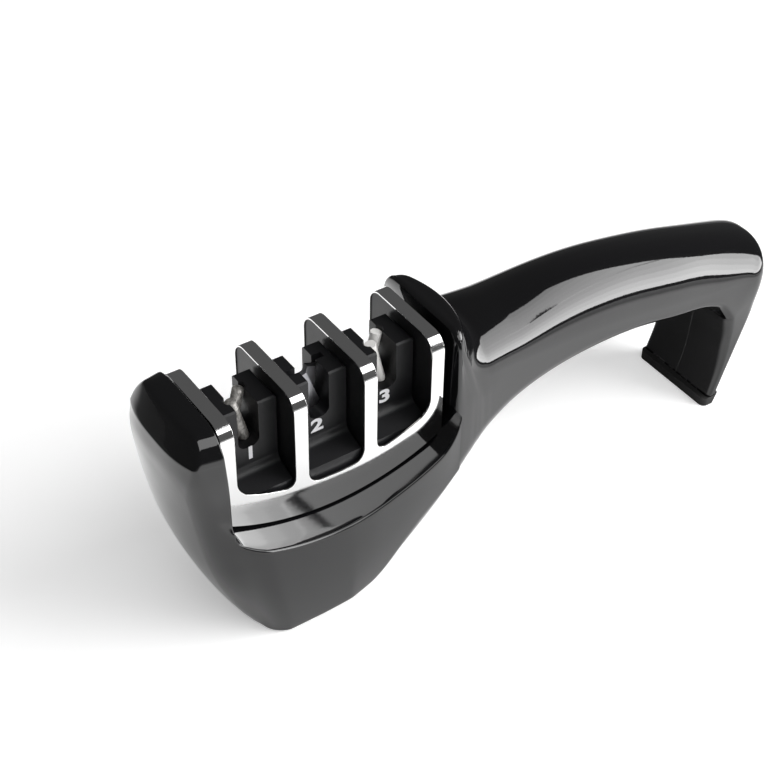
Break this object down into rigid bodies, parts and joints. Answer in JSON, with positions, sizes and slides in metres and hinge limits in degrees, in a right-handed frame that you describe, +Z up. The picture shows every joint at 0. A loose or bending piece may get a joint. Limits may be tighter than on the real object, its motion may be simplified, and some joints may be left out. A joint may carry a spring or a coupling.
{
  "type": "pull through knife sharpener",
  "caption": "Pull-through knife sharpener: glossy black body with an arched handle and a steel cover over slotted sharpening stages with crossed rods and blades.",
  "frame": {"origin": "middle of the bounding box in X and Y, on the surface that the sharpener stands on", "axes": "+X from the nose to the tail of the handle, +Y across to the far side, +Z up"},
  "size_m": [0.214, 0.053, 0.0782],
  "materials": {
    "body": "gloss black",
    "steel": "bright satin",
    "cartridge": "matt black",
    "diamond": "grey abrasive grit",
    "carbide": "ground",
    "ceramic": "fine matt",
    "plate": "matt black",
    "pad": "matt black",
    "screw": "zinc plated"
  },
  "bodies": {
    "root": {"body_shell_left": "body", "body_shell_right": "body", "steel_cover": "steel", "cartridge_frame": "cartridge", "stage_block_1": "cartridge", "stage_block_2": "cartridge", "stage_block_3": "cartridge", "diamond_rod_front": "diamond", "diamond_rod_rear": "diamond", "carbide_blade_front": "carbide", "carbide_blade_rear": "carbide", "ceramic_rod_front": "ceramic", "ceramic_rod_rear": "ceramic", "base_plate": "plate", "base_pad": "pad", "foot_pad": "pad", "base_screw_1": "screw", "base_screw_2": "screw", "base_screw_3": "screw", "base_screw_4": "screw", "frame_screw_1": "screw", "frame_screw_2": "screw"}
  },
  "joints": []
}
